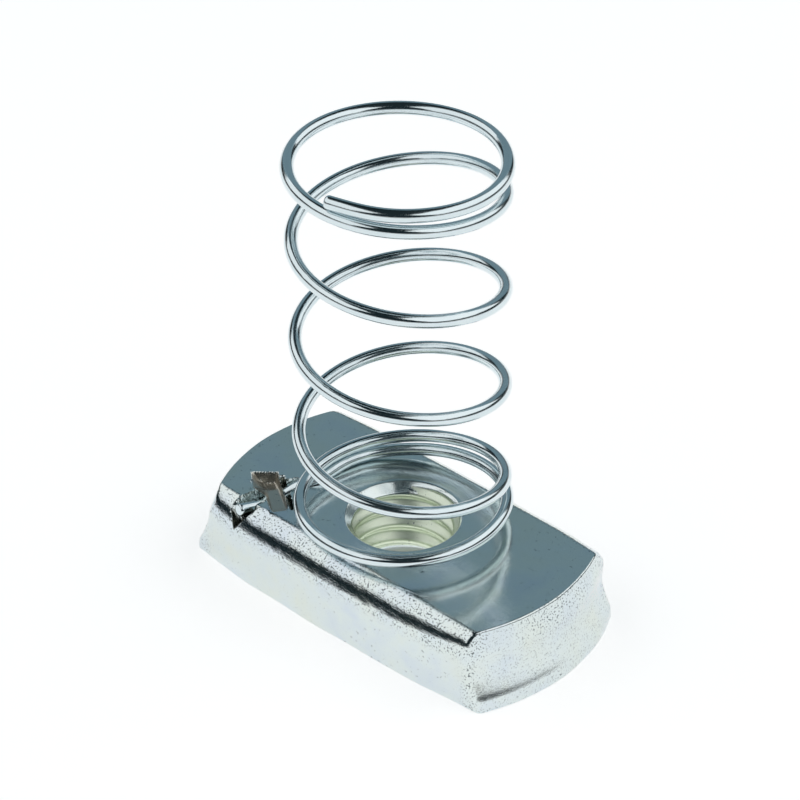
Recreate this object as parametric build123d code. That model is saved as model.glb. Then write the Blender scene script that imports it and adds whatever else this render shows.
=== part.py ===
from build123d import *
import math
import os

# Strut spring nut: a forged steel channel nut with a long wire spring staked to its top.
# Millimetres. The origin is on the bore axis, in the plane of the toothed underside.
# +X runs along the nut, +Y across it, +Z up the spring.

# ---- nut body ----
nut_thickness = 6.75
widest_height = 1.1  # the sides and ends are widest just above the underside
top_half_width = 7.3  # flat top, from the middle to where the shoulder starts
shoulder_drop = 1.75
shoulder_step = 0.9
shoulder_bow = 0.22  # how far the shoulder stands out of a straight chamfer, each way
low_half_width_end = 8.4  # half width low down, at the round ends
low_half_width_middle = 8.9  # and at the bore, where the metal was pushed out
foot_rounding = 0.15
top_end_radius = 15.85  # the ends are arcs about the bore axis, so the nut can turn in its channel
low_end_radius = 17.5
brow_radius = 16.3  # the ends bulge a little under their top edge
brow_height = 5.3
waist_radius = 16.25
waist_height = 3.7  # below this the ends flare out
loft_half_length = 18.5  # sections of the sides stand this far out, past the round ends
loft_overshoot = 0.15  # and this far over the top face, which the turned body then trims flat
end_x = 15.5  # where the half width at the ends is measured

# ---- bore ----
bore_radius = 3.97  # tapping size of a 3/8-16 thread
mouth_radius = 4.77
mouth_depth = mouth_radius - bore_radius
cutter_overshoot = 1.0  # how far a cutter stands past the face that it starts from

# ---- toothed bands on the underside ----
band_inner = 10.9  # where the channel's lips start, from the middle
band_outer = 15.4
band_depth = 0.35
tooth_pitch = 1.25
tooth_depth = 0.55
tooth_count = 16

# ---- coil spring, one left-hand wire that comes down counter-clockwise ----
wire_radius = 0.545
wire_sides = 14  # the round section is drawn with this many sides, which keeps its mesh light
start_angle = -74.5  # degrees about +Z, where the turns are counted from
points_per_turn = 12  # that the wire's path goes through
runs_per_turn = 32  # straight runs that the swept wire is made of
coil_lean = (-0.25, -0.25)  # how far the top turn stands off the bore axis
# turns, height of the wire's centre over the nut's top, radius of the coil; the cut tip comes first
# and rests on the second turn
coil_stations = (
    (-0.036, 32.68, 8.3),
    (0.0, 32.6, 8.16),
    (0.1, 32.34, 8.14),
    (0.2, 32.14, 8.2),
    (0.28, 32.15, 8.2),
    (0.4, 32.42, 8.14),
    (0.55, 32.47, 8.12),
    (0.75, 32.3, 8.12),
    (1.0, 31.4, 8.1),
    (1.25, 30.2, 8.08),
    (1.5, 28.6, 8.05),
    (3.75, 9.15, 8.1),
    (4.25, 4.85, 8.12),
    (4.5, 2.57, 8.12),
    (4.65, 1.85, 8.16),
    (4.83, 1.6, 8.28),
    (5.08, 1.72, 8.3),
    (5.29, 1.95, 8.28),
    (5.45, 1.35, 8.2),
    (5.58, 0.74, 8.0),
)
coil_turns = 5.5  # where the tail takes over

# ---- tail of the wire, which lies in a groove and passes under the stake ----
# x, y and height of the wire's centre over the nut's top, at the points that its path goes through
tail_route = (
    (-5.75, 5.7, 0.78),
    (-7.65, 3.0, 0.6),
    (-8.1, 0.6, 0.55),
    (-8.35, -1.4, 0.24),
    (-9.2, -2.8, -0.27),
    (-9.72, -3.9, -0.8),
    (-10.0, -5.0, -1.08),
    (-10.24, -6.1, -0.9),
    (-10.45, -7.1, -0.6),
    (-10.65, -8.2, -0.4),
)
tail_share = 0.06  # part of the wire's length that makes its tail
tail_runs = 24
runs_in_nut = 16  # of those, counted from the cut end
groove_runs = ((-14, -9), (-5, -1))  # open stretches either side of the stake
tunnel_clearance = 0.03  # round the wire, where it lies in the nut
groove_side_gap = 0.1  # beside the wire, where the groove is open
groove_flare = 0.2
groove_height = 2.0  # of its cutter, from the wire's centre up

# ---- stake: a chisel mark across the groove, whose floor is the metal pressed over the wire ----
stake_deep_end = (-12.25, -3.7)
stake_shallow_end = (-7.9, -6.55)
stake_half_width = 1.0
stake_flare = 0.4  # how much wider each side is at the top face
stake_floor = ((0.0, 1.0), (0.35, 0.5), (1.0, 0.05))  # part of its length, depth

# ---- notch in the shoulder, under the cut end of the wire ----
notch_centre_x = -10.6
notch_half_width = 1.15
notch_depth = 1.5
notch_start_y = -6.9
notch_length = 3.0  # out past the foot of the side


def side_section(x):
    """Cross-section of the sides at x: rounded shoulders, flare and foot, taller than the nut."""
    bow = (low_half_width_middle - low_half_width_end) * (x / end_x) ** 2
    low = low_half_width_middle - bow
    shoulder = top_half_width + shoulder_step
    under = -widest_height
    foot = low - 2 * foot_rounding
    edge = top_half_width - loft_overshoot
    top = nut_thickness + loft_overshoot
    bend = nut_thickness - shoulder_drop
    bow_y = (edge + shoulder) / 2 + shoulder_bow
    bow_z = (top + bend) / 2 + shoulder_bow
    plane = Plane(origin=(x, 0, 0), x_dir=(0, 1, 0), z_dir=(1, 0, 0))
    edges = []
    for s in (1, -1):
        edges.append(ThreePointArc((s * edge, top), (s * bow_y, bow_z), (s * shoulder, bend)))
        edges.append(Line((s * shoulder, bend), (s * low, widest_height)))
        edges.append(Line((s * low, widest_height), (s * foot, under)))
    edges.append(Line((-edge, top), (edge, top)))
    edges.append(Line((-foot, under), (foot, under)))
    return plane * make_face(Wire.combine([edge.edge() for edge in edges])[0])


def round_end_body():
    """Solid of revolution about the bore that gives both ends their arc and their flare."""
    outline = Polyline(
        (0, nut_thickness),
        (top_end_radius, nut_thickness),
        (brow_radius, brow_height),
        (waist_radius, waist_height),
        (low_end_radius, widest_height),
        (low_end_radius - foot_rounding, 0),
        (0, 0),
        close=True,
    )
    return revolve(Plane.XZ * make_face(outline), Axis.Z)


def toothed_band(side):
    """Cutter for one band of teeth: a shallow recess with a saw of V grooves along X."""
    length = band_outer - band_inner
    half = tooth_count * tooth_pitch / 2
    saw = [(-half, -cutter_overshoot)]
    for i in range(tooth_count):
        left = -half + i * tooth_pitch
        saw.append((left, band_depth))
        saw.append((left + tooth_pitch / 2, band_depth + tooth_depth))
    saw.append((half, band_depth))
    saw.append((half, -cutter_overshoot))
    plane = Plane(origin=(side * band_inner, 0, 0), x_dir=(0, side, 0), z_dir=(side, 0, 0))
    return extrude(plane * make_face(Polyline(*saw, close=True)), length)


def blend(turn, column):
    """Smooth value between the coil's stations, with the slope of their neighbours."""
    last = len(coil_stations) - 1
    i = 0
    while i < last - 1 and turn > coil_stations[i + 1][0]:
        i += 1
    t = [station[0] for station in coil_stations]
    v = [station[column] for station in coil_stations]

    def slope(j):
        a = max(j - 1, 0)
        b = min(j + 1, last)
        return (v[b] - v[a]) / (t[b] - t[a])

    span = t[i + 1] - t[i]
    u = (turn - t[i]) / span
    rise = u * u * (3 - 2 * u)
    start_slope = u * (1 - u) * (1 - u) * span * slope(i)
    end_slope = u * u * (u - 1) * span * slope(i + 1)
    return v[i] + (v[i + 1] - v[i]) * rise + start_slope + end_slope


def wire_path():
    """Centre line of the wire, from its cut tip down the coil to its cut tail."""
    first_turn = coil_stations[0][0]
    steps = round(coil_turns * points_per_turn)
    points = []
    for i in range(steps + 1):
        turn = first_turn + (coil_turns - first_turn) * i / steps
        height = blend(turn, 1)
        radius = blend(turn, 2)
        angle = math.radians(start_angle + 360 * turn)
        lean = height / coil_stations[0][1]
        x = radius * math.cos(angle) + coil_lean[0] * lean
        y = radius * math.sin(angle) + coil_lean[1] * lean
        points.append((x, y, nut_thickness + height))
    for x, y, height in tail_route:
        points.append((x, y, nut_thickness + height))
    return Spline(*points)


def planes_across(path, start, end, count):
    """Planes across the wire at even steps, with their X axis level."""
    planes = []
    for i in range(count + 1):
        part = start + (end - start) * i / count
        along = path % part
        planes.append(Plane(origin=path @ part, x_dir=(along.Y, -along.X, 0), z_dir=along))
    return planes


def round_wire(planes, radius):
    """Wire through the given planes, in straight runs."""
    return loft([plane * RegularPolygon(radius, wire_sides) for plane in planes], ruled=True)


def open_groove(planes):
    """Slot from the wire's centre line up through the top face."""
    half = wire_radius + groove_side_gap
    lip = half + groove_flare
    slot = Polyline((-half, 0), (-lip, groove_height), (lip, groove_height), (half, 0), close=True)
    return loft([plane * make_face(slot) for plane in planes], ruled=True)


def stake_mark():
    """Chisel mark: upright far wall, floor that rises to the top face, flared sides."""
    start = Vector(*stake_deep_end, nut_thickness)
    end = Vector(*stake_shallow_end, nut_thickness)
    along = (end - start).normalized()
    across = Vector(along.Y, -along.X, 0)
    lip = stake_half_width + stake_flare
    sections = []
    for part, depth in stake_floor:
        outline = Polyline(
            (-lip, cutter_overshoot),
            (-lip, 0),
            (-stake_half_width, -depth),
            (stake_half_width, -depth),
            (lip, 0),
            (lip, cutter_overshoot),
            close=True,
        )
        plane = Plane(origin=start + (end - start) * part, x_dir=across, z_dir=along)
        sections.append(plane * make_face(outline))
    return loft(sections, ruled=True)


def shoulder_notch():
    """V cut through the shoulder, where the groove runs out of the nut."""
    start = (notch_centre_x, notch_start_y, nut_thickness)
    plane = Plane(origin=start, x_dir=(1, 0, 0), z_dir=(0, -1, 0))
    flank = Polyline(
        (-notch_half_width, cutter_overshoot),
        (-notch_half_width, 0),
        (0, -notch_depth),
        (notch_half_width, 0),
        (notch_half_width, cutter_overshoot),
        close=True,
    )
    return extrude(plane * make_face(flank), notch_length)


def bore_cutter():
    """Bore at the tapping size with a countersink at each face, revolved about its axis."""
    top = nut_thickness
    profile = Polyline(
        (0, -cutter_overshoot),
        (mouth_radius, -cutter_overshoot),
        (mouth_radius, 0),
        (bore_radius, mouth_depth),
        (bore_radius, top - mouth_depth),
        (mouth_radius, top),
        (mouth_radius, top + cutter_overshoot),
        (0, top + cutter_overshoot),
        close=True,
    )
    return revolve(Plane.XZ * make_face(profile), Axis.Z)


def make_nut(tail_planes):
    """The forged nut: sides and ends, then its bore, teeth, groove, notch and stake mark."""
    ends = (-loft_half_length, 0, loft_half_length)
    body = loft([side_section(x) for x in ends]) & round_end_body()
    body -= bore_cutter()
    body -= toothed_band(1)
    body -= toothed_band(-1)
    body -= round_wire(tail_planes[-runs_in_nut:], wire_radius + tunnel_clearance)
    for first, last in groove_runs:
        body -= open_groove(tail_planes[first:last])
    body -= stake_mark()
    body -= shoulder_notch()
    return body


def make_parts():
    path = wire_path()
    coil_runs = round((1 - tail_share) * coil_turns * runs_per_turn)
    coil_planes = planes_across(path, 0, 1 - tail_share, coil_runs)
    tail_planes = planes_across(path, 1 - tail_share, 1, tail_runs)
    spring = round_wire(coil_planes + tail_planes[1:], wire_radius)
    return {"nut_body": make_nut(tail_planes), "coil_spring": spring}


if __name__ == "__main__":
    os.makedirs("parts", exist_ok=True)
    for name, shape in make_parts().items():
        export_step(shape, f"parts/{name}.step")
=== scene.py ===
import math
import bmesh
import bpy
import numpy as np
from mathutils import Matrix, Vector


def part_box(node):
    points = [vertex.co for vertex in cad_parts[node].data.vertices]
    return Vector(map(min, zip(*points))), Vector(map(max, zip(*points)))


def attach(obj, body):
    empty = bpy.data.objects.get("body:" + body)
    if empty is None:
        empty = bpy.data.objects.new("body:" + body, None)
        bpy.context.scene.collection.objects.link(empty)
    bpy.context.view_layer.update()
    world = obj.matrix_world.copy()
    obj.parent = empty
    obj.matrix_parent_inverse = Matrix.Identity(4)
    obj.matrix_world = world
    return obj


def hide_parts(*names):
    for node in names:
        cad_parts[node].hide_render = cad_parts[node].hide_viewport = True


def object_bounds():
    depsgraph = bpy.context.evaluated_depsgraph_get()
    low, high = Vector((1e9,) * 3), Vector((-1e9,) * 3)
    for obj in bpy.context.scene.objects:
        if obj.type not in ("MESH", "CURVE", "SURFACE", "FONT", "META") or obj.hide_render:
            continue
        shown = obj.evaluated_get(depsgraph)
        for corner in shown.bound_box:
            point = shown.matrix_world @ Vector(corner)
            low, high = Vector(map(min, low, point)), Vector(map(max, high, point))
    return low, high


# Strut spring nut: a forged and zinc plated channel nut with a long wire spring staked to its top.
# Sizes below are millimetres. +X runs along the nut, +Y across it, +Z up the spring.

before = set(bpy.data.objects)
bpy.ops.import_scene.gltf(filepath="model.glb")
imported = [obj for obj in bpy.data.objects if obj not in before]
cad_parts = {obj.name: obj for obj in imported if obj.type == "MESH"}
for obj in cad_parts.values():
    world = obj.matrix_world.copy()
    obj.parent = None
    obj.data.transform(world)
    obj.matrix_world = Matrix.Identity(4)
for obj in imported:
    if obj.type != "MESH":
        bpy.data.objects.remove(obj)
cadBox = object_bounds()
mm = 0.001
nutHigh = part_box("nut_body")[1]  # its corner that is highest in x, y and z
topHeight = nutHigh.z / mm
print("frame loaded, nut", round(topHeight, 2), "mm thick")


def linearColour(hexCode):
    # sRGB hex to linear RGBA
    parts = np.array([int(hexCode[i:i + 2], 16) for i in (1, 3, 5)]) / 255
    linear = np.where(parts <= 0.04045, parts / 12.92, ((parts + 0.055) / 1.055) ** 2.4)
    return (*linear.tolist(), 1.0)


def addNode(tree, kind, settings=None, links=None):
    # settings go to the node's own values, or to its sockets where the name or number is a socket's
    node = tree.nodes.new(kind)
    for name, value in (settings or {}).items():
        if isinstance(name, int) or name in node.inputs:
            node.inputs[name].default_value = value
        else:
            setattr(node, name, value)
    for name, source in (links or {}).items():
        tree.links.new(source, node.inputs[name])
    return node


def emptyTree(owner):
    # node tree of a new material or world, with nothing in it
    owner.use_nodes = True
    owner.node_tree.nodes.clear()
    return owner.node_tree


def placeObject(name, data):
    placed = bpy.data.objects.new(name, data)
    bpy.context.scene.collection.objects.link(placed)
    return placed


def ripples(points, size, seed, waves=28):
    # smooth seeded noise, about -1 to 1: a sum of plane sine waves in random directions
    draw = np.random.default_rng(seed)
    heading = draw.normal(size=(waves, 3))
    heading *= 2 * np.pi / size / np.linalg.norm(heading, axis=1, keepdims=True)
    heading *= draw.uniform(0.6, 1.5, (waves, 1))  # some longer and some shorter than the size
    phase = draw.uniform(0, 2 * np.pi, waves)
    total = np.zeros(points.shape[:-1])
    for k in range(waves):
        total += np.sin(points @ heading[k] + phase[k])
    return total / math.sqrt(waves)


def fadeIn(value, start, end):
    # 0 below start, 1 above end, and a smooth cubic between them
    t = np.clip((value - start) / (end - start), 0, 1)
    return t * t * (3 - 2 * t)


def softSteps(value, knots, softness):
    # straight lines between knots, each corner rounded by a running mean over the softness
    shifts = np.linspace(-softness, softness, 7)
    return sum(np.interp(value + shift, *knots) for shift in shifts) / len(shifts)


def meshFromGrid(name, points, wrapRows, poles=()):
    # points is rows x columns x 3 in mm; columns always wrap, rows wrap or end in two poles
    rows, columns = points.shape[:2]
    index = np.arange(rows * columns).reshape(rows, columns)
    below = index if wrapRows else index[:-1]
    above = np.roll(index, -1, axis=0) if wrapRows else index[1:]
    quads = np.stack([below, np.roll(below, -1, 1), np.roll(above, -1, 1), above], -1).reshape(-1, 4)
    vertices = points.reshape(-1, 3)
    faces = quads.tolist()
    if len(poles):
        vertices = np.vstack([vertices, poles])
        first, last = index[0], index[-1]
        startPole, endPole = rows * columns, rows * columns + 1
        faces += [(int(b), int(a), startPole) for a, b in zip(first, np.roll(first, -1))]
        faces += [(int(a), int(b), endPole) for a, b in zip(last, np.roll(last, -1))]
    mesh = bpy.data.meshes.new(name)
    mesh.from_pydata((vertices * mm).tolist(), [], faces)
    mesh.polygons.foreach_set("use_smooth", np.ones(len(mesh.polygons), bool))
    mesh.update()
    return placeObject(name, mesh)


def giveAttribute(piece, name, values):
    # one vector or one number for each vertex
    kind = "FLOAT_VECTOR" if values.ndim == 2 else "FLOAT"
    layer = piece.data.attributes.new(name, kind, "POINT")
    layer.data.foreach_set("vector" if values.ndim == 2 else "value", values.astype(np.float32).ravel())


view = {
    "azimuth": 44.13, "elevation": 34.01, "roll": -0.358,  # degrees
    "distance": 207.45, "lens": 119.88, "sensor": 36.0,
    "targetHeight": 17.9, "targetSide": -0.23,
    "nearest": 10.0,  # anything closer than this is not drawn
}


def addCamera():
    azimuth, elevation, roll = (math.radians(view[k]) for k in ("azimuth", "elevation", "roll"))
    back = Vector((math.sin(azimuth) * math.cos(elevation), -math.cos(azimuth) * math.cos(elevation),
                   math.sin(elevation)))
    level = Vector((math.cos(azimuth), math.sin(azimuth), 0))
    upright = back.cross(level)
    right = math.cos(roll) * level + math.sin(roll) * upright
    up = back.cross(right)
    target = level * view["targetSide"] + Vector((0, 0, view["targetHeight"]))
    camera = placeObject("camera", bpy.data.cameras.new("camera"))
    camera.data.lens = view["lens"]
    camera.data.sensor_width = view["sensor"]
    camera.data.clip_start = view["nearest"] * mm
    camera.location = (target + back * view["distance"]) * mm
    camera.rotation_mode = "QUATERNION"
    camera.rotation_quaternion = Matrix((right, up, back)).transposed().to_quaternion()
    bpy.context.scene.camera = camera


addCamera()
print("camera placed")

studio = {
    # azimuth from the camera's side, + to its right; degrees, with the lamp's spread each way
    "lamps": {
        "leftBox": {"azimuth": -84, "elevation": 46, "wide": 86, "tall": 46, "level": 1.0, "far": 330,
                    "colour": "#FFFFFF"},
        "rightBox": {"azimuth": 84, "elevation": 46, "wide": 86, "tall": 46, "level": 1.1, "far": 330,
                     "colour": "#FFFFFF"},
        "backPanel": {"azimuth": 180, "elevation": 29, "wide": 64, "tall": 40, "level": 0.285, "far": 420,
                      "colour": "#CCEFFF"},
    },
    "aimHeight": 15.0,  # of the point that all the lamps face
    "roomDark": "#19262A",
    "roomLow": "#F4F4F4",  # the white card turns up at the horizon
    "cardTop": (0.03, 0.06),  # sine of the height where it ends
    "floorRadii": (4.0, 400.0, 5),  # of its rings of faces: first, last and how many
    "floorSides": 64,
    "floorColour": "#E6E7E7",
    "floorGlow": 0.62,
    "boreShade": (4.6, 6.5),  # mm from the bore's axis, where the card lies in the nut's shade
}


def aimedAt(azimuth, elevation):
    # unit vector from the object, azimuth counted from the camera's side
    turn = math.radians(view["azimuth"] + azimuth)
    lift = math.radians(elevation)
    return Vector((math.sin(turn) * math.cos(lift), -math.cos(turn) * math.cos(lift), math.sin(lift)))


def addLamps():
    middle = Vector((0, 0, studio["aimHeight"]))
    for name, box in studio["lamps"].items():
        towards = aimedAt(box["azimuth"], box["elevation"])
        lamp = bpy.data.lights.new(name, "AREA")
        lamp.shape = "RECTANGLE"
        lamp.size = 2 * box["far"] * math.tan(math.radians(box["wide"] / 2)) * mm
        lamp.size_y = 2 * box["far"] * math.tan(math.radians(box["tall"] / 2)) * mm
        # its face is as bright as the level
        lamp.energy = box["level"] * math.pi * lamp.size * lamp.size_y
        lamp.color = linearColour(box["colour"])[:3]
        holder = placeObject(name, lamp)
        holder.location = (middle + towards * box["far"]) * mm
        holder.rotation_mode = "QUATERNION"
        holder.rotation_quaternion = towards.to_track_quat("Z", "Y")
        holder.visible_camera = False


def addRoom():
    # near black room round the lamps, with the card's turned up edge low down; white for the camera
    world = bpy.data.worlds.new("room")
    bpy.context.scene.world = world
    tree = emptyTree(world)
    start, end = studio["cardTop"]
    place = addNode(tree, "ShaderNodeTexCoord")
    height = addNode(tree, "ShaderNodeSeparateXYZ", links={0: place.outputs["Generated"]})
    rise = addNode(tree, "ShaderNodeMapRange", {"From Min": start, "From Max": end}, {0: height.outputs["Z"]})
    colour = addNode(tree, "ShaderNodeMix", {"data_type": "RGBA", 6: linearColour(studio["roomLow"]),
                                             7: linearColour(studio["roomDark"])}, {0: rise.outputs[0]})
    path = addNode(tree, "ShaderNodeLightPath")
    seen = addNode(tree, "ShaderNodeMix", {"data_type": "RGBA", 7: (1, 1, 1, 1)},
                   {0: path.outputs["Is Camera Ray"], 6: colour.outputs[2]})
    light = addNode(tree, "ShaderNodeBackground", {"Strength": 1.0}, {"Color": seen.outputs[2]})
    addNode(tree, "ShaderNodeOutputWorld", links={"Surface": light.outputs[0]})


def whiteCard():
    # Uncoated white card, pressed smooth: matt and even, and it takes the nut's shadow. Its own light
    # shows only where it is looked at or mirrored, and is turned down as painted shade where it is looked at
    # through the bore.
    material = bpy.data.materials.new("whiteCard")
    tree = emptyTree(material)
    start, end = (radius * mm for radius in studio["boreShade"])
    card = addNode(tree, "ShaderNodeBsdfDiffuse", {"Color": linearColour(studio["floorColour"])})
    path = addNode(tree, "ShaderNodeLightPath")
    mirrored = addNode(tree, "ShaderNodeMath", {"operation": "MAXIMUM"},
                       {0: path.outputs["Is Glossy Ray"], 1: path.outputs["Is Transmission Ray"]})
    place = addNode(tree, "ShaderNodeTexCoord")
    reach = addNode(tree, "ShaderNodeVectorMath", {"operation": "LENGTH"}, {0: place.outputs["Object"]})
    shade = addNode(tree, "ShaderNodeMapRange", {"From Min": start, "From Max": end},
                    {0: reach.outputs["Value"]})
    seen = addNode(tree, "ShaderNodeMath", {"operation": "MULTIPLY_ADD"},
                   {0: path.outputs["Is Camera Ray"], 1: shade.outputs[0], 2: mirrored.outputs[0]})
    amount = addNode(tree, "ShaderNodeMath", {"operation": "MULTIPLY", 1: studio["floorGlow"]},
                     {0: seen.outputs[0]})
    glow = addNode(tree, "ShaderNodeEmission", links={"Strength": amount.outputs[0]})
    both = addNode(tree, "ShaderNodeAddShader", links={0: card.outputs[0], 1: glow.outputs[0]})
    addNode(tree, "ShaderNodeOutputMaterial", links={"Surface": both.outputs[0]})
    return material


def addFloor():
    # flat round sheet: rings of faces about the origin, closed by one face in the middle
    turn = np.linspace(0, 2 * np.pi, studio["floorSides"] + 1)[:-1]
    radii = np.linspace(*studio["floorRadii"])[:, None]
    points = np.stack([radii * np.cos(turn), radii * np.sin(turn), 0 * radii * turn], -1)
    rows, columns = points.shape[:2]
    index = np.arange(rows * columns).reshape(rows, columns)
    faces = [index[0].tolist()]
    for low, high in zip(index[:-1], index[1:]):
        faces += np.stack([low, high, np.roll(high, -1), np.roll(low, -1)], -1).tolist()
    mesh = bpy.data.meshes.new("floor")
    mesh.from_pydata((points.reshape(-1, 3) * mm).tolist(), [], faces)
    mesh.materials.append(whiteCard())
    placeObject("floor", mesh)


bpy.context.scene.view_settings.view_transform = "Standard"
addLamps()
addRoom()
addFloor()
print("studio lit")

# The coil spring is one left-hand wire. Its stations give turns, height over the nut's top and the
# coil's radius, from the cut tip down; its tail gives x, y and height over the nut's top.
spring = {
    "wireRadius": 0.53,
    "sides": 32,
    "ringStep": 0.15,  # along the wire
    "startAngle": -74.5,
    "pointsPerTurn": 12,
    "lean": (-0.25, -0.25),  # how far the top turn stands off the bore's axis
    "stations": (
        (-0.026, 32.67, 8.26), (0.0, 32.6, 8.16), (0.1, 32.34, 8.14), (0.2, 32.14, 8.2), (0.28, 32.15, 8.2),
        (0.4, 32.42, 8.14), (0.55, 32.47, 8.12), (0.75, 32.3, 8.12), (1.0, 31.4, 8.1), (1.25, 30.2, 8.08),
        (1.5, 28.6, 8.05), (3.75, 9.15, 8.1), (4.25, 4.85, 8.12), (4.5, 2.57, 8.12), (4.65, 1.85, 8.16),
        (4.83, 1.6, 8.28), (5.08, 1.72, 8.3), (5.29, 1.95, 8.28), (5.45, 1.35, 8.2), (5.58, 0.74, 8.0),
    ),
    "coilTurns": 5.5,
    "tail": (  # in its groove and under the stake
        (-5.75, 5.7, 0.78), (-7.65, 3.0, 0.6), (-8.1, 0.6, 0.55), (-8.35, -1.4, 0.24),
        (-9.2, -2.8, -0.3), (-9.72, -3.9, -0.86), (-10.0, -5.0, -1.2), (-10.24, -6.1, -1.0),
        (-10.45, -7.1, -0.76), (-10.65, -8.2, -0.52),
    ),
    "cutEdge": (0.16, 0.07),  # share of the radius lost at each cut face, and over what length
    "faceRings": (0.35, 0.68, 0.78),  # rings of vertices on the cut faces, as shares of the radius
    "nicks": 46,
    "nickSeed": 5,
    "nickClear": 3.0,  # from the wire's ends
    "nickSquash": 1.4,  # how much shorter a nick is round the wire than along it
    "nickSize": (0.08, 0.22),
    "nickDepth": (0.006, 0.022),
}


def eased(turns, column):
    # cubic through the stations, its slope at each one taken from the neighbours on both sides
    table = np.array(spring["stations"])
    t, v = table[:, 0], table[:, column]
    before = np.maximum(np.arange(len(t)) - 1, 0)
    after = np.minimum(np.arange(len(t)) + 1, len(t) - 1)
    slope = (v[after] - v[before]) / (t[after] - t[before])
    i = np.clip(np.searchsorted(t, turns, side="left") - 1, 0, len(t) - 2)
    span = t[i + 1] - t[i]
    u = (turns - t[i]) / span
    rise = u * u * (3 - 2 * u)
    return (v[i] + (v[i + 1] - v[i]) * rise + u * (1 - u) ** 2 * span * slope[i]
            + u * u * (u - 1) * span * slope[i + 1])


def smoothLine(points, step):
    # cubic spline through the points with even curvature, cut into even steps along its length
    samples = 24000  # far finer than the step
    chord = np.r_[0, np.cumsum(np.linalg.norm(np.diff(points, axis=0), axis=1))]
    gap = np.diff(chord)
    count = len(points)
    balance = np.eye(count)
    inner = np.arange(1, count - 1)
    balance[inner, inner - 1] = gap[:-1] / 6
    balance[inner, inner] = (gap[:-1] + gap[1:]) / 3
    balance[inner, inner + 1] = gap[1:] / 6
    slopes = np.diff(points, axis=0) / gap[:, None]
    bend = np.zeros_like(points)
    bend[1:-1] = np.diff(slopes, axis=0)
    bend = np.linalg.solve(balance, bend)
    t = np.linspace(0, chord[-1], samples)
    i = np.clip(np.searchsorted(chord, t) - 1, 0, count - 2)
    a = ((chord[i + 1] - t) / gap[i])[:, None]
    b = 1 - a
    square = (gap[i] ** 2)[:, None] / 6
    bowed = ((a ** 3 - a) * bend[i] + (b ** 3 - b) * bend[i + 1]) * square
    line = a * points[i] + b * points[i + 1] + bowed
    length = np.r_[0, np.cumsum(np.linalg.norm(np.diff(line, axis=0), axis=1))]
    even = np.linspace(0, length[-1], round(length[-1] / step) + 1)
    return np.stack([np.interp(even, length, line[:, k]) for k in range(3)], -1), even


def springLine():
    # the coil, (radius cos angle, radius sin angle, height) with its lean, and then the tail
    firstTurn, lastTurn = spring["stations"][0][0], spring["coilTurns"]
    turns = np.linspace(firstTurn, lastTurn, round(lastTurn * spring["pointsPerTurn"]) + 1)
    height, radius = eased(turns, 1), eased(turns, 2)
    angle = np.radians(spring["startAngle"] + 360 * turns)
    share = height / spring["stations"][0][1]
    coil = np.stack([radius * np.cos(angle) + spring["lean"][0] * share,
                     radius * np.sin(angle) + spring["lean"][1] * share, topHeight + height], -1)
    tail = np.array(spring["tail"]) + (0, 0, topHeight)
    return smoothLine(np.vstack([coil, tail]), spring["ringStep"])


def makeSpring(line, along):
    # A circle carried along the wire's line: centre + radius (level cos a + upright sin a).
    # The radius falls to the two cut faces and is dented by a few nicks from handling.
    wire, nicks = spring["wireRadius"], spring["nicks"]
    angle = np.linspace(0, 2 * np.pi, spring["sides"] + 1)[:-1]
    heading = np.gradient(line, axis=0)
    heading /= np.linalg.norm(heading, axis=1, keepdims=True)
    level = np.stack([heading[:, 1], -heading[:, 0], 0 * along], -1)
    level /= np.linalg.norm(level, axis=1, keepdims=True)
    upright = np.cross(heading, level)
    radius = np.full((len(along), len(angle)), wire)
    draw = np.random.default_rng(spring["nickSeed"])
    places = draw.uniform(spring["nickClear"], along[-1] - spring["nickClear"], nicks)
    turns = draw.uniform(0, 2 * np.pi, nicks)
    sizes = draw.uniform(*spring["nickSize"], nicks)
    depths = draw.uniform(*spring["nickDepth"], nicks)
    for place, turn, size, depth in zip(places, turns, sizes, depths):
        away = (along[:, None] - place) / size
        around = (np.angle(np.exp(1j * (angle - turn))) * wire)[None, :] / size * spring["nickSquash"]
        radius -= depth * np.exp(-away ** 2 - around ** 2)
    ends = np.minimum(along, along[-1] - along)[:, None]
    lost, reach = spring["cutEdge"]
    radius *= 1 - lost * np.exp(-ends / reach)
    rings = np.array(spring["faceRings"])[:, None]
    rounds = np.concatenate([radius[:1] * rings, radius, radius[-1:] * rings[::-1]])
    pick = np.pad(np.arange(len(along)), len(rings), "edge")  # which point of the line each ring goes round
    cosine, sine = np.cos(angle), np.sin(angle)
    points = line[pick, None] + rounds[..., None] * (level[pick, None] * cosine[:, None]
                                                     + upright[pick, None] * sine[:, None])
    piece = meshFromGrid("springWire", points, False, line[[0, -1]])
    # place on the wire for the drawn finish: across, across, along, in mm
    local = np.stack([rounds * cosine, rounds * sine, along[pick, None] + 0 * rounds], -1).reshape(-1, 3)
    poles = np.array([[0, 0, 0], [0, 0, along[-1]]])
    giveAttribute(piece, "wirePlace", np.vstack([local, poles]))
    return piece


springPath, springAlong = springLine()
springPiece = makeSpring(springPath, springAlong)
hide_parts("coil_spring")
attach(springPiece, "root")
print("spring wound,", round(float(springAlong[-1]), 1), "mm of wire")

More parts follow.
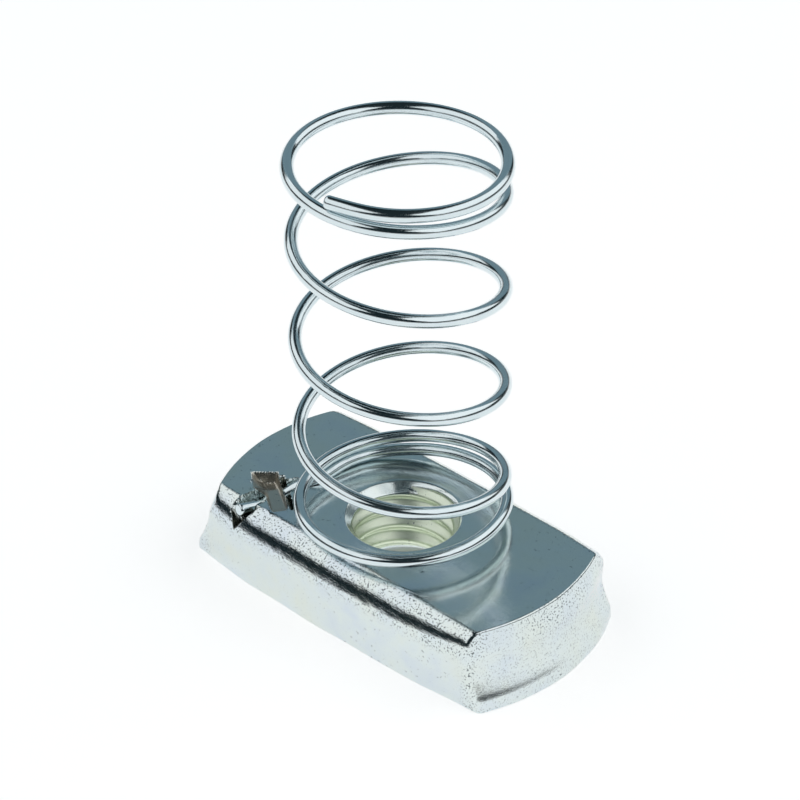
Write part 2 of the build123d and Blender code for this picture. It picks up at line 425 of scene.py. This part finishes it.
# The forged nut. Pairs of rows are knots: places, and the values there.
nut = {
    "mouthRadius": 4.77,
    "mouthDepth": 0.8,
    "mouthRows": (0.3, 0.2, 0.1),  # depths under the rim
    "mouthRound": 0.03,  # how far the rim between chamfer and top is rounded off
    "mouthFade": 0.1,  # over what width
    "threadPitch": 1.5875,
    "threadCrest": 3.97,
    "threadRoot": 4.6,
    "threadRows": 16,  # for each turn
    "threadPhase": 0.656,  # puts a crest just under the mouth on the side away from the stake
    "threadClear": 0.02,  # how far it must lie outside the chamfer to look tapped
    # Shoulder, from the flat top down: arcs that turn the surface to face lower and lower.
    # Each has its radius and the angle above level that the surface faces at its end.
    "shoulderArcs": ((1.1, 62), (3.1, 32), (5.0, 24), (1.6, 0)),
    "arcPoints": 9,
    "sideLean": 0.0227,  # how much the sides close in for each mm above the foot
    "footHeight": 1.1,
    "footRound": 0.06,  # how far the underside's edge is drawn in
    # along x: half width at the foot, and how large the shoulder's arcs are
    "nearFoot": ((-15.0, -11.8, -10.0, -1.6, 0.0, 3.5, 7.0, 10.0, 13.0, 15.6),
                 (8.5, 8.82, 9.03, 9.04, 8.98, 8.88, 8.78, 8.62, 8.22, 8.05)),
    "nearSize": ((-15.0, -12.0, -8.3, -1.6, 4.0, 8.9, 11.2, 14.5),
                 (0.7, 0.8, 0.96, 1.0, 1.0, 0.9, 0.74, 0.5)),
    "farFoot": ((-15.5, -10.0, 0.0, 10.0, 15.5), (8.4, 8.75, 8.88, 8.75, 8.4)),
    "farSize": 0.85,
    "footTaper": ((0, 1.1), (0.06, 0.0)),
    # heights, and radii of the two ends there: they are skewed, so radius = middle + skew sin(angle)
    "endHeights": (0, 0.9, 1.3, 1.9, 2.8, 3.7, 4.6, 5.3, 6.1, topHeight),
    "rightEnd": (17.38, 17.31, 17.08, 16.82, 16.5, 16.35, 16.42, 16.35, 16.12, 15.95),
    "rightSkew": (-0.3, -0.3, -0.32, -0.38, -0.33, -0.2, -0.1, 0.0, 0.0, 0.0),
    "leftEnd": (17.35, 17.28, 17.1, 16.9, 16.6, 16.4, 16.35, 16.25, 16.1, 15.95),
    "leftSkew": (-0.9, -0.8, -0.65, -0.5, -0.35, -0.2, 0.0, 0.3, 0.6, 0.66),
    "endEdge": 0.16,  # rounding of the ends' top edge
    "softness": {"foot": 1.0, "size": 1.2, "height": 0.25},  # mm over which the knots' corners are rounded
    "cornerBlend": 0.5,
    "boxGap": (0.01, 0.004),  # kept clear of the near and the far side of the box
    # columns of the grid, as steps in mm along the outline at one height
    "outlineHeight": 2.0,
    "columnStep": 0.36,
    "cornerStep": 0.14,
    "corner": (14.7, 8.1, 0.9),  # x and y of the four corners, and how far the finer step reaches
    "fineSector": (173.0, 226.0),  # degrees, round the stake
    "fineStep": 0.42,
    # rows of the grid, as depths under the top or as heights; a triple is first, last and how many
    "topRows": 104,
    "edgeDepths": (0.005, 0.02, 0.045, 0.08, 0.12, 0.17, 0.23),
    "shoulderDepths": (0.3, 2.7, 21),
    "sideDepths": (2.9, topHeight - 1.3, 10),
    "footHeights": (1.1, 0.9, 0.7, 0.45, 0.25, 0.12, 0.04),
    "underRows": 20,
}

# unevenness of the forging and of its sheared shoulder
skin = {
    "waves": (5.0, 3),  # ripples' size in mm, and seed
    "grain": (0.6, 4),
    "topWave": 0.01,  # mm, as the next three
    "sideWave": 0.02,
    "shoulderGrain": 0.006,
    "cornerGrain": 0.03,
    "topFade": (5, 6),  # radius where the waves on the top begin
    "longSide": (6.0, 6.6),  # y and x where the long sides begin and end
    "sideEnds": (14.6, 15.4),
    "shearedDepth": (2.9, 1.9),  # under the top, where the sheared look fades in
    "corner": (14.6, 8.0, 0.7),
    "endGrain": (0.35, 0.6),  # on the round ends, and more of it on their upper middle
    "endRise": (3.6, 5.2),
    "endMiddle": 0.5,
    "endHalf": (5.0, 2.0),
    # forging lap across the right end
    "lap": {"height": 3.75, "across": (-2.9, 2.6), "fade": 1.2, "depth": 0.09, "wide": 0.13},
}

# bands of teeth across the underside, each a block in a sunk bed
teeth = {
    "inner": 10.9,  # from the middle
    "outer": 15.0,
    "halfWidth": 7.2,
    "depth": 0.35,
    "pitch": 1.25,
    "toothDepth": 0.55,
    "bedDepth": 0.95,
    "bedWall": 0.01,  # run of the bed's steep walls
    "leastBed": 0.05,
    "bedShares": (0.0, 0.33, 0.67, 1.0),  # rows across the bed
    "lap": 0.02,  # how far the block reaches into the bed's walls, and into its roof
    "roofLap": 0.07,
}

# Chisel mark, and the groove and notch beside it. Knots run along the mark from its deep end.
stake = {
    "deepEnd": (-12.25, -3.7),
    "shallowEnd": (-7.9, -6.55),
    "floor": ((0.0, 1.8, 4.9, 5.5), (1.0, 0.48, 0.12, 0.0)),
    "leftFoot": ((-0.3, 1.6, 3.0, 5.5), (0.1, 0.05, 0.2, 0.3)),  # of the sloping left wall
    "leftTop": ((-0.3, 1.6, 2.4, 3.0, 5.5), (1.05, 1.3, 0.85, 0.5, 0.42)),
    "right": (-0.8, -1.1),  # foot and top of the right wall
    "farEnd": (0.25, 0.25, 3.0),  # wall at the deep end: where it begins, its skew and its slope
    "least": 0.02,  # depth from which a cut counts
    "reach": 2.6,  # depth under the top down to which the cutters work
    # open crack behind the right lip
    "crackWidth": 0.34,
    "crackDepth": 0.7,
    "crackEnds": (0.5, 5.6),
    "crackFades": (0.6, 1.2),
    "crackShape": (1.6, 3),  # how narrow its bottom is, and the power that its walls follow
    "crackWander": 0.04,
    "crackRipples": (0.7, 11),  # size in mm, and seed
    "crackShade": 0.1,  # depth from which the crack is painted dark as shade
    # groove of the wire's tail
    "grooveTail": 14.0,  # length of the wire that it follows
    "grooveGap": 0.1,
    "grooveSlope": 8.0,
    "covered": (-0.2, 5.7, 0.05),  # the mark's metal lies over the wire: from, to, and past the left wall
    # notch in the near shoulder, as pairs for the left and the right of its bottom
    "notchX": -10.55,
    "notchHalf": (1.5, 1.35),
    "notchDepth": 2.05,
    "notchStart": (-8.1, -7.2),
    # metal pressed up
    "raisedFrom": 0.5,  # only this near the top
    "lipHeight": 0.1,
    "lipWidth": 0.12,
    "rimHeight": 0.06,
    "rimWidth": 0.4,
    "rimSpan": (0.0, 5.5),
    "burrHeight": 0.22,
    "burrPlace": 0.12,  # from the groove's edge
    "burrWidth": 0.1,
    "burrSunk": (0.1, 0.6),  # depth of the wire over which the burr rises
    "burrRipples": (0.5, 12),
    "burrUneven": (0.8, 0.5, 0.2, 1.4),  # middle, swing, least and most
    "burrFarSide": 0.35,
}
clear = 9.0  # lifts a cutter off the nut


def shoulderCurve():
    # depth under the top and half width gained along the arcs, which chain end to end:
    # an arc of radius r from angle p to q goes out by r (cos q - cos p) and down by r (sin p - sin q)
    facing, out, down = 90.0, [0.0], [0.0]
    for radius, last in nut["shoulderArcs"]:
        turn = np.radians(np.linspace(facing, last, nut["arcPoints"]))
        out += (out[-1] + radius * (np.cos(turn[1:]) - np.cos(turn[0]))).tolist()
        down += (down[-1] + radius * (np.sin(turn[0]) - np.sin(turn[1:]))).tolist()
        facing = last
    return np.array(down), np.array(out)


shoulderDown, shoulderOut = shoulderCurve()


def halfWidth(x, z, near):
    # foot's width - lean - what the shoulder's curve, scaled to its size there, still has to go out
    soft = nut["softness"]
    foot = np.where(near, softSteps(x, nut["nearFoot"], soft["foot"]),
                    softSteps(x, nut["farFoot"], soft["foot"]))
    size = np.where(near, softSteps(x, nut["nearSize"], soft["size"]), nut["farSize"])
    inset = size * (shoulderOut[-1] - np.interp((topHeight - z) / size, shoulderDown, shoulderOut))
    lean = nut["sideLean"] * np.maximum(z - nut["footHeight"], 0)
    return foot - lean - inset - softSteps(z, nut["footTaper"], soft["height"])


def endRadius(z, theta):
    # middle + skew sin(theta), with a small quarter round along the top edge
    rightEnd, rightSkew, leftEnd, leftSkew = (
        softSteps(z, (nut["endHeights"], nut[name]), nut["softness"]["height"])
        for name in ("rightEnd", "rightSkew", "leftEnd", "leftSkew"))
    right, edge = np.cos(theta) > 0, nut["endEdge"]
    over = np.clip(z - topHeight + edge, 0, edge)
    radius = np.where(right, rightEnd, leftEnd) + np.where(right, rightSkew, leftSkew) * np.sin(theta)
    return radius - edge + np.sqrt(edge ** 2 - over ** 2)


def outerRadius(theta, z):
    # Nearer of the long side and the round end, joined by a smooth minimum. The side's half width
    # depends on x = radius cos(theta), so a few passes close in on it from a first guess.
    guess, furthest, passes, leastSine = 8.2, 17, 6, 0.05
    cosine, sine = np.cos(theta), np.sin(theta)
    steep = np.maximum(abs(sine), leastSine)
    side = np.full(np.broadcast(theta, z).shape, guess) / steep
    for _ in range(passes):
        side = halfWidth(np.clip(side * cosine, -furthest, furthest), z, sine < 0) / steep
    end = endRadius(z, theta)
    blend = nut["cornerBlend"]
    h = np.clip(0.5 + 0.5 * (side - end) / blend, 0, 1)
    return end * h + side * (1 - h) - blend * h * (1 - h)


def nearCorner(x, y, corner):
    # 1 at the four corners, and a bell curve of their distance around them
    cornerX, cornerY, reach = corner
    return np.exp(-((abs(x) - cornerX) ** 2 + (abs(y) - cornerY) ** 2) / reach ** 2)


def columnAngles():
    # even steps along the outline, closer at the corners and round the stake
    samples = 8001  # far finer than the columns
    theta = np.linspace(0, 2 * np.pi, samples)
    radius = outerRadius(theta[None, :], np.array([[nut["outlineHeight"]]]))[0]
    x, y = radius * np.cos(theta), radius * np.sin(theta)
    run = np.hypot(np.gradient(x), np.gradient(y))
    step = nut["columnStep"] + (nut["cornerStep"] - nut["columnStep"]) * nearCorner(x, y, nut["corner"])
    start, end = np.radians(nut["fineSector"])
    fine = (theta > start) & (theta < end)
    density = np.maximum(run / step, fine * (theta[1] - theta[0]) / math.radians(nut["fineStep"]))
    total = np.cumsum(density) - density[0]
    count = int(total[-1])
    return np.interp(np.arange(count) * total[-1] / count, total, theta)


def wireDistance(x, y):
    # distance in plan to the wire's tail, height of the wire's centre there, and which side of it
    tail = springPath[springAlong > springAlong[-1] - stake["grooveTail"]]
    distance, height, side = np.full(x.shape, np.inf), np.zeros(x.shape), np.zeros(x.shape)
    for start, end in zip(tail[:-1:2], tail[2::2]):
        run = end[:2] - start[:2]
        t = np.clip(((x - start[0]) * run[0] + (y - start[1]) * run[1]) / float(run @ run), 0, 1)
        dx, dy = x - start[0] - t * run[0], y - start[1] - t * run[1]
        reach = np.hypot(dx, dy)
        closer = reach < distance
        distance = np.where(closer, reach, distance)
        height = np.where(closer, start[2] + (end[2] - start[2]) * t, height)
        side = np.where(closer, np.sign(run[0] * dy - run[1] * dx), side)
    return distance, height, side


def stakeFrame(x, y):
    # along the chisel mark from its deep end, and across it to the left
    deep, shallow = np.array(stake["deepEnd"]), np.array(stake["shallowEnd"])
    along = (shallow - deep) / float(np.linalg.norm(shallow - deep))
    a = (x - deep[0]) * along[0] + (y - deep[1]) * along[1]
    b = (x - deep[0]) * along[1] - (y - deep[1]) * along[0]
    return a, b


def pitDepth(a, b):
    # shallowest of the mark's floor, its two sloping side walls and the wall at its deep end
    depth = np.interp(a, *stake["floor"])
    leftFoot, leftTop = np.interp(a, *stake["leftFoot"]), np.interp(a, *stake["leftTop"])
    left = depth * (leftTop - b) / (leftTop - leftFoot)
    rightFoot, rightTop = stake["right"]
    right = depth + (rightFoot - b) * (depth + stake["lipHeight"]) / (rightTop - rightFoot)
    start, skew, slope = stake["farEnd"]
    far = (a + start + skew * b) * slope
    return np.minimum(np.minimum(depth, left), np.minimum(right, far))


def crackShare(a):
    # 1 along the crack, fading out to its ends
    start, end = stake["crackEnds"]
    fadeStart, fadeEnd = stake["crackFades"]
    return fadeIn(a, start, start + fadeStart) * (1 - fadeIn(a, end - fadeEnd, end))


def crackDepth(a, b, points):
    # full depth x (1 - a power of the distance from its wandering middle line)
    wander = stake["crackWander"] * ripples(points, *stake["crackRipples"])
    middle = stake["right"][1] - stake["crackWidth"] / 2 + wander
    narrow, power = stake["crackShape"]
    walls = np.clip(1 - (abs(b - middle) / stake["crackWidth"] * narrow) ** power, -1, 1)
    return stake["crackDepth"] * crackShare(a) * walls


def grooveFloor(distance, wireHeight, half):
    # round bed under the wire, and banks that lean out beside it
    bed = wireHeight - np.sqrt(np.maximum(half ** 2 - distance ** 2, 0))
    bank = wireHeight + (distance - half) * stake["grooveSlope"]
    return np.where(distance < half, bed, bank)


def notchFloor(x, y):
    # V with its own width and start on each side of its bottom
    left = x < stake["notchX"]
    rise = abs(x - stake["notchX"]) / np.where(left, *stake["notchHalf"])
    floor = topHeight - stake["notchDepth"] * (1 - rise)
    return np.where(y < np.where(left, *stake["notchStart"]), floor, topHeight + clear)


def burrRise(wall, wireHeight, side, points):
    # bell curve across the groove's edge, uneven along it and lower on the far side
    sunk = fadeIn(topHeight - wireHeight, *stake["burrSunk"])
    middle, swing, least, most = stake["burrUneven"]
    uneven = np.clip(middle + swing * ripples(points, *stake["burrRipples"]), least, most)
    crest = stake["burrHeight"] * np.exp(-((wall - stake["burrPlace"]) / stake["burrWidth"]) ** 2)
    return crest * sunk * uneven * np.where(side < 0, 1, stake["burrFarSide"])


def cutHeight(x, y, z):
    # Lowest of the base height and the cutters' floors: chisel mark, crack, wire groove and notch.
    # The pressed metal stands up a little as a burr round them. Also tells which points the chisel
    # cut, and which lie in the crack or the notch.
    points = np.stack([x, y, 0 * x], -1)
    a, b = stakeFrame(x, y)
    pit, crack = pitDepth(a, b), crackDepth(a, b, points)
    distance, wireHeight, side = wireDistance(x, y)
    half = spring["wireRadius"] + stake["grooveGap"]
    leftTop, rightTop = np.interp(a, *stake["leftTop"]), stake["right"][1]
    coverStart, coverEnd, coverLap = stake["covered"]
    covered = (a > coverStart) * (a < coverEnd) * (b < leftTop + coverLap) * (b > rightTop)
    groove = grooveFloor(distance, wireHeight, half) + covered * clear
    notch = notchFloor(x, y)
    inPit = pit > stake["least"]
    struck = topHeight - np.maximum(pit, crack)
    floor = np.where(inPit, struck, np.minimum(struck, np.minimum(groove, notch)))
    burr = burrRise(distance - half, wireHeight, side, points) * (1 - covered)
    lip = stake["lipHeight"] * np.exp(-((b - rightTop) / stake["lipWidth"]) ** 2) * crackShare(a)
    rimStart, rimEnd = stake["rimSpan"]
    rim = stake["rimHeight"] * np.exp(-(np.maximum(b - leftTop, 0) / stake["rimWidth"]) ** 2)
    rim = rim * (b > leftTop) * (a > rimStart) * (a < rimEnd)
    raised = z + (burr + lip + rim) * (z > topHeight - stake["raisedFrom"])
    chiselled = inPit & (pit >= crack)
    # the third mask marks the deep crack and the notch, which the finish darkens as painted shade
    return np.minimum(raised, floor), chiselled, (crack > stake["crackShade"]) | (notch < topHeight)


def threadRadius(theta, z):
    # rounded saw in the phase z / pitch - angle / full turn, which climbs right-handed
    phase = (z / nut["threadPitch"] - theta / (2 * np.pi) + nut["threadPhase"]) % 1
    crest = fadeIn(abs(2 * phase - 1), 0.0, 1.0)
    return nut["threadRoot"] - (nut["threadRoot"] - nut["threadCrest"]) * crest


def underRows(theta, foot):
    # rows in from the foot, with a sunk bed for each band of teeth: its edges are radii
    # where the column crosses the band's rectangle
    tiny, wall = 1e-6, teeth["bedWall"]
    cosine, sine = np.maximum(abs(np.cos(theta)), tiny), np.maximum(abs(np.sin(theta)), tiny)
    outer = np.minimum(teeth["outer"] / cosine, teeth["halfWidth"] / sine)
    sunk = teeth["inner"] / cosine < outer - teeth["leastBed"]
    inner = np.where(sunk, teeth["inner"] / cosine, outer - teeth["leastBed"])
    flat, depth = 0 * foot, np.where(sunk, teeth["bedDepth"], 0.0)
    bed = [outer - (outer - inner) * share for share in teeth["bedShares"]]
    rim = np.concatenate([foot, (foot + outer) / 2, outer + wall, *bed, inner - wall])
    height = np.concatenate([flat, flat, flat, *[depth] * len(bed), flat])
    last = inner - wall
    inwards = last + (nut["mouthRadius"] - last) * np.linspace(0, 1, nut["underRows"])[1:, None]
    return np.vstack([rim, inwards]), np.vstack([height, 0 * inwards])


def nutRows(theta):
    # Radius, height and zone of every row: up the thread, out over the top, down the sides and back
    # in under the nut. The last row meets the first.
    mouth, deep, rounding = nut["mouthRadius"], nut["mouthDepth"], nut["mouthRound"]
    low, high = deep / 2, topHeight - deep / 2
    boreZ = np.linspace(low, high, round((high - low) / nut["threadPitch"] * nut["threadRows"]))[:, None]
    cone = np.maximum(mouth - boreZ, mouth - (topHeight - boreZ))
    upper = np.array([*nut["mouthRows"], rounding])[:, None]
    lower = np.array(nut["mouthRows"][::-1])[:, None]
    edge = outerRadius(theta, np.array([[topHeight]]))
    topR = mouth + rounding + (edge - mouth - rounding) * np.linspace(0, 1, nut["topRows"])[:, None]
    sag = rounding * np.exp(-(topR - mouth) / nut["mouthFade"])
    drop = np.r_[nut["edgeDepths"], np.linspace(*nut["shoulderDepths"]), np.linspace(*nut["sideDepths"])]
    outZ = np.r_[topHeight - drop, nut["footHeights"]][:, None]
    foot = outerRadius(theta, np.array([[0.0]])) - nut["footRound"]
    blocks = [
        ("bore", np.maximum(threadRadius(theta, boreZ), cone), boreZ),
        ("bore", mouth - upper, topHeight - upper),
        ("top", topR, topHeight - sag),
        ("outside", outerRadius(theta, outZ), outZ),
        ("under", *underRows(theta, foot)),
        ("bore", mouth - lower, lower),
    ]
    radius = np.concatenate([np.broadcast_to(r, (len(r), theta.size)) for _, r, _ in blocks])
    height = np.concatenate([np.broadcast_to(z, (len(z), theta.size)) for _, _, z in blocks])
    zone = np.concatenate([np.full((len(r), 1), name) for name, r, _ in blocks])
    return radius, height, zone


def skinShares(x, y, height, outside):
    # Shares, 0 to 1, of the long sides' sheared shoulder, of the round ends' grain and of the
    # corners' rough metal.
    long = fadeIn(abs(y), *skin["longSide"]) * (1 - fadeIn(abs(x), *skin["sideEnds"]))
    start, end = skin["shearedDepth"]
    shoulder = outside * long * fadeIn(height, topHeight - start, topHeight - end)
    base, more = skin["endGrain"]
    start, end = skin["endHalf"]
    middle = fadeIn(height, *skin["endRise"]) * fadeIn(-abs(y - skin["endMiddle"]), -start, -end)
    endGrain = outside * (1 - long) * (base + more * middle)
    return long, shoulder, endGrain, nearCorner(x, y, skin["corner"]) * outside


def lapDepth(x, y, height):
    # bell curve across the lap's height, fading out to its two ends
    lap = skin["lap"]
    start, end = lap["across"]
    across = fadeIn(y, start, start + lap["fade"]) * (1 - fadeIn(y, end - lap["fade"], end))
    return lap["depth"] * np.exp(-((height - lap["height"]) / lap["wide"]) ** 2) * (x > 0) * across


def makeNut():
    # One closed grid: columns are angles about the bore and rows go once round the section. Points
    # are (radius cos, radius sin, height), then moved by the forging's unevenness and the cutters.
    theta = columnAngles()[None, :]
    radius, height, zone = nutRows(theta)
    inBore, onTop, outside = (zone == name for name in ("bore", "top", "outside"))
    x, y = radius * np.cos(theta), radius * np.sin(theta)
    points = np.stack([x, y, height], -1)
    outward = np.stack([np.cos(theta) + 0 * height, np.sin(theta) + 0 * height, 0 * height], -1)
    slow, fine = ripples(points, *skin["waves"]), ripples(points, *skin["grain"])
    long, shoulder, endGrain, corner = skinShares(x, y, height, outside)
    coarse = np.maximum(skin["shoulderGrain"] * shoulder, skin["cornerGrain"] * corner)
    shift = outside * (skin["sideWave"] * slow + fine * coarse - lapDepth(x, y, height) * (1 - long))
    points[..., 2] += onTop * skin["topWave"] * slow * fadeIn(radius, *skin["topFade"])
    points += outward * shift[..., None]
    nearGap, farGap = nut["boxGap"]
    points[..., 1] = np.clip(points[..., 1], cadBox[0].y / mm + nearGap, nutHigh.y / mm - farGap)
    base = points[..., 2].copy()
    lowered, chiselled, recessShade = cutHeight(points[..., 0], points[..., 1], base)
    cuttable = onTop | (outside & (height > topHeight - stake["reach"]))
    points[..., 2] = np.where(cuttable, lowered, base)
    piece = meshFromGrid("nutBody", points, True)
    # the chisel's cuts are flat facets with sharp edges
    touched = base - points[..., 2] > stake["least"]
    near = touched.copy()
    for axis in (0, 1):
        near |= np.roll(touched, 1, axis) | np.roll(touched, -1, axis)
    facets = near | np.roll(near, -1, 0) | np.roll(near, -1, 1)
    piece.data.polygons.foreach_set("use_smooth", ~facets.ravel())
    mouth = nut["mouthRadius"]
    threaded = inBore & (radius > np.maximum(mouth - height, mouth - topHeight + height) + nut["threadClear"])
    giveAttribute(piece, "sheared", np.clip(np.maximum(shoulder, np.maximum(endGrain, corner)), 0, 1).ravel())
    giveAttribute(piece, "bore", threaded.astype(float).ravel())
    giveAttribute(piece, "cut", (touched & chiselled).astype(float).ravel())
    # deep crack and notch: a dark colour here is painted shade
    giveAttribute(piece, "recessShade", (touched & recessShade & ~chiselled).astype(float).ravel())
    print("nut grid", zone.size, "rows and", theta.size, "columns")
    return piece


def makeTeeth(side):
    # block that fills one bed: a saw along Y underneath, carried straight along X
    half, pitch = teeth["halfWidth"] + teeth["lap"], teeth["pitch"]
    count = int(half / pitch)
    y = np.r_[-half, np.arange(-2 * count, 2 * count + 1) * pitch / 2, half]
    saw = teeth["depth"] + teeth["toothDepth"] * abs((y / pitch + 1) % 1 * 2 - 1)
    roof = teeth["bedDepth"] + teeth["roofLap"]
    outline = np.vstack([np.stack([y, saw], -1), [[half, roof], [-half, roof]]])
    ends = side * np.array([teeth["inner"] - teeth["lap"], teeth["outer"] + teeth["lap"]])
    points = np.vstack([np.column_stack([np.full(len(outline), x), outline]) for x in ends])
    ring = np.arange(len(outline))
    walls = np.stack([ring, np.roll(ring, -1), np.roll(ring, -1) + len(ring), ring + len(ring)], -1)
    faces = [*walls.tolist(), ring.tolist(), (ring + len(ring)).tolist()]
    mesh = bpy.data.meshes.new("teeth")
    mesh.from_pydata((points * mm).tolist(), [], faces)
    turned = bmesh.new()
    turned.from_mesh(mesh)
    bmesh.ops.recalc_face_normals(turned, faces=turned.faces)
    turned.to_mesh(mesh)
    turned.free()
    return placeObject("teethRight" if side > 0 else "teethLeft", mesh)


nutPieces = [makeNut(), makeTeeth(1), makeTeeth(-1)]
for nutPiece in nutPieces:
    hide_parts("nut_body")
    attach(nutPiece, "root")
print("nut forged")

noiseSpan = {"From Min": 0.3, "From Max": 0.7}  # where nearly all of a noise texture's values lie

wireFinish = {
    "colour": "#E1E9EB",
    "tint": "#CCDBE0",
    "cloudSize": 10 / 3,  # mm, as the next three
    "streakWidth": 0.07,  # die lines, drawn coarser than the real ones so that they show
    "streakLength": 6.0,
    "relief": 0.003,
    "roughness": (0.1, 0.2),
}


def zincPlatedDrawnWire():
    # Drawn spring steel, bright zinc plated: a mirror drawn into fine lines along the wire,
    # with a blue cast from the passivation. The attribute wirePlace is in mm.
    material = bpy.data.materials.new("zincPlatedDrawnWire")
    tree = emptyTree(material)
    smooth, rough = wireFinish["roughness"]
    place = addNode(tree, "ShaderNodeAttribute", {"attribute_name": "wirePlace"}).outputs["Vector"]
    squeeze = wireFinish["streakWidth"] / wireFinish["streakLength"]
    drawn = addNode(tree, "ShaderNodeMapping", {"Scale": (1, 1, squeeze)}, {"Vector": place})
    lines = addNode(tree, "ShaderNodeTexNoise", {"Scale": 1 / wireFinish["streakWidth"], "Detail": 2.0},
                    {"Vector": drawn.outputs[0]})
    cloud = addNode(tree, "ShaderNodeTexNoise", {"Scale": 1 / wireFinish["cloudSize"], "Detail": 2.0},
                    {"Vector": place})
    colour = addNode(tree, "ShaderNodeMix", {"data_type": "RGBA", 6: linearColour(wireFinish["colour"]),
                                             7: linearColour(wireFinish["tint"])}, {0: cloud.outputs[0]})
    polish = addNode(tree, "ShaderNodeMapRange", {**noiseSpan, "To Min": smooth, "To Max": rough},
                     {0: lines.outputs[0]})
    bump = addNode(tree, "ShaderNodeBump", {"Distance": wireFinish["relief"] * mm},
                   {"Height": lines.outputs[0]})
    shader = addNode(tree, "ShaderNodeBsdfPrincipled", {"Metallic": 1.0},
                     {"Base Color": colour.outputs[2], "Roughness": polish.outputs[0],
                      "Normal": bump.outputs[0]})
    addNode(tree, "ShaderNodeOutputMaterial", links={"Surface": shader.outputs[0]})
    return material


nutFinish = {
    "colour": "#DAE3E3",
    "blueCast": "#D2DCE4",
    "strawCast": "#DCE3DD",
    "boreColour": "#E4EDDA",
    "cutColour": "#C4C0B6",
    "speckColour": "#6E787B",
    "pitColour": "#5E676B",
    # painted shade in the deep crack and the notch
    "recessShadeColour": "#70736A",
    # sizes in mm; pits, grain and scratches are drawn coarser than the real ones so that they show
    "castSize": 4.0,
    "speckSize": 0.3,
    "pitSize": 0.14,
    "grainSize": 0.13,
    "grainRelief": 0.01,
    "scratchWidth": 0.06,
    "scratchLength": 2.5,
    "scratchRelief": 0.004,
    "scratchTurn": 0.2,  # radians off the nut's length
    # noise values over which each layer fades in
    "blueLevels": (0.5, 0.7),
    "strawLevels": (0.5, 0.3),
    "speckLevels": (0.65, 0.72),
    "pitLevels": (0.58, 0.67),
    "roughness": (0.09, 0.18),
    "shearedRoughness": 0.12,
    "cutRoughness": 0.3,
    "boreRoughness": 0.36,
    "grainStrength": (0.06, 1.0),  # on the flat top, and on the sheared shoulder
}


def zincPlatedForgedSteel():
    # Hot forged steel, barrel zinc plated and clear passivated: a cloudy half mirror with faint blue
    # and straw casts, dark pin pricks and hair scratches, coarse sparkling grain where the shoulder
    # was sheared, and duller metal where the chisel cut. The deep crack and the notch get a darker colour as
    # painted shade.
    material = bpy.data.materials.new("zincPlatedForgedSteel")
    tree = emptyTree(material)
    place = addNode(tree, "ShaderNodeTexCoord").outputs["Object"]
    sheared, bore, cut, recessShade = (
        addNode(tree, "ShaderNodeAttribute", {"attribute_name": name}).outputs["Fac"]
        for name in ("sheared", "bore", "cut", "recessShade"))
    cast, specks, pits, grain = (
        addNode(tree, "ShaderNodeTexNoise", {"Scale": 1 / (nutFinish[size] * mm), "Detail": detail,
                                             "Roughness": broken}, {"Vector": place}).outputs[0]
        for size, detail, broken in (("castSize", 3.0, 0.5), ("speckSize", 3.0, 0.7), ("pitSize", 1.0, 0.5),
                                     ("grainSize", 2.0, 0.6)))
    blue, straw, prick, pitted = (
        addNode(tree, "ShaderNodeMapRange", {"From Min": nutFinish[levels][0],
                                             "From Max": nutFinish[levels][1]}, {0: noise}).outputs[0]
        for levels, noise in (("blueLevels", cast), ("strawLevels", cast), ("speckLevels", specks),
                              ("pitLevels", pits)))
    pitted = addNode(tree, "ShaderNodeMath", {"operation": "MULTIPLY"}, {0: pitted, 1: sheared}).outputs[0]
    colour = addNode(tree, "ShaderNodeMix", {"data_type": "RGBA", 6: linearColour(nutFinish["colour"]),
                                             7: linearColour(nutFinish["blueCast"])}, {0: blue})
    for name, share in (("strawCast", straw), ("boreColour", bore), ("cutColour", cut),
                        ("speckColour", prick), ("pitColour", pitted), ("recessShadeColour", recessShade)):
        colour = addNode(tree, "ShaderNodeMix", {"data_type": "RGBA", 7: linearColour(nutFinish[name])},
                         {0: share, 6: colour.outputs[2]})
    smooth, rough = nutFinish["roughness"]
    polish = addNode(tree, "ShaderNodeMapRange", {**noiseSpan, "To Min": smooth, "To Max": rough},
                     {0: specks})
    for name, share in (("shearedRoughness", sheared), ("cutRoughness", cut), ("boreRoughness", bore)):
        polish = addNode(tree, "ShaderNodeMix", {3: nutFinish[name]}, {0: share, 2: polish.outputs[0]})
    squeeze = nutFinish["scratchWidth"] / nutFinish["scratchLength"]
    combed = addNode(tree, "ShaderNodeMapping", {"Scale": (squeeze, 1, 1),
                                                 "Rotation": (0, 0, nutFinish["scratchTurn"])},
                     {"Vector": place})
    scratch = addNode(tree, "ShaderNodeTexNoise", {"Scale": 1 / (nutFinish["scratchWidth"] * mm),
                                                   "Detail": 1.0}, {"Vector": combed.outputs[0]})
    scratched = addNode(tree, "ShaderNodeBump", {"Distance": nutFinish["scratchRelief"] * mm},
                        {"Height": scratch.outputs[0]})
    faint, full = nutFinish["grainStrength"]
    strength = addNode(tree, "ShaderNodeMapRange", {"To Min": faint, "To Max": full}, {0: sheared})
    bump = addNode(tree, "ShaderNodeBump", {"Distance": nutFinish["grainRelief"] * mm},
                   {"Height": grain, "Strength": strength.outputs[0], "Normal": scratched.outputs[0]})
    shader = addNode(tree, "ShaderNodeBsdfPrincipled", {"Metallic": 1.0},
                     {"Base Color": colour.outputs[2], "Roughness": polish.outputs[0],
                      "Normal": bump.outputs[0]})
    addNode(tree, "ShaderNodeOutputMaterial", links={"Surface": shader.outputs[0]})
    return material


springPiece.data.materials.append(zincPlatedDrawnWire())
nutSteel = zincPlatedForgedSteel()
for nutPiece in nutPieces:
    nutPiece.data.materials.append(nutSteel)
print("finishes on")
